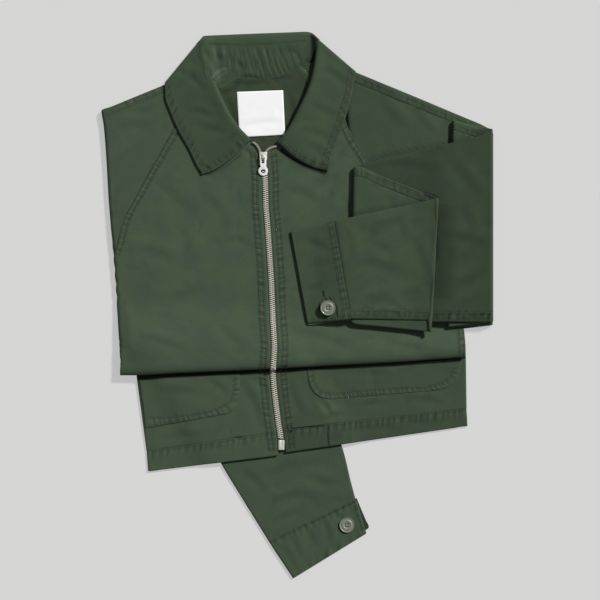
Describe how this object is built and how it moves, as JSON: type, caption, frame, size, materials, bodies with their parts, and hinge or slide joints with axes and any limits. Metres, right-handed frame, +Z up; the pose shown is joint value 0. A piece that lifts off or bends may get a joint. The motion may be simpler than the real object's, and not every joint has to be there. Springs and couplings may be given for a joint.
{
  "type": "folded zip jacket",
  "caption": "Cotton twill zip jacket with a point collar, raglan sleeves, hem band and buttoned cuffs, folded flat with its front up.",
  "frame": {"origin": "centre of the folded jacket's bounding box, on the surface it rests on", "axes": "+X towards the wearer's left side, +Y towards the collar, +Z up from the surface"},
  "size_m": [0.4701, 0.6538, 0.0218],
  "materials": {
    "twill": "dark green washed cotton twill",
    "label_tape": "blank white woven label",
    "zip_tape": "dark green woven zip tape",
    "zip_metal": "dull grey plated metal",
    "button": "grey green moulded plastic"
  },
  "bodies": {
    "jacket": {"back_lower": "twill", "back_neck": "twill", "button_left": "button", "button_right": "button", "collar_back": "twill", "collar_leaf_left": "twill", "collar_leaf_right": "twill", "cuff_left": "twill", "cuff_right": "twill", "front_left": "twill", "front_left_lower": "twill", "front_right": "twill", "front_right_lower": "twill", "hem_band_left": "twill", "hem_band_right": "twill", "hidden_layers": "twill", "label": "label_tape", "pocket_left": "twill", "pocket_right": "twill", "sleeve_left_back": "twill", "sleeve_left_front": "twill", "sleeve_right_end_back": "twill", "sleeve_right_end_front": "twill", "sleeve_right_head": "twill", "slider": "zip_metal", "waist_layers": "twill", "zip_box": "zip_metal", "zip_lower": "zip_metal", "zip_tape_left": "zip_tape", "zip_tape_right": "zip_tape", "zip_upper": "zip_metal"},
    "pull_tab": {"pull_tab": "zip_metal"}
  },
  "joints": [
    {"name": "pull_tab_hinge", "type": "hinge", "parent": "jacket", "child": "pull_tab", "pos_m": [-0.0405, 0.1785, 0.0131], "axis": [-1, 0, 0], "range_deg": [0, 150]}
  ]
}
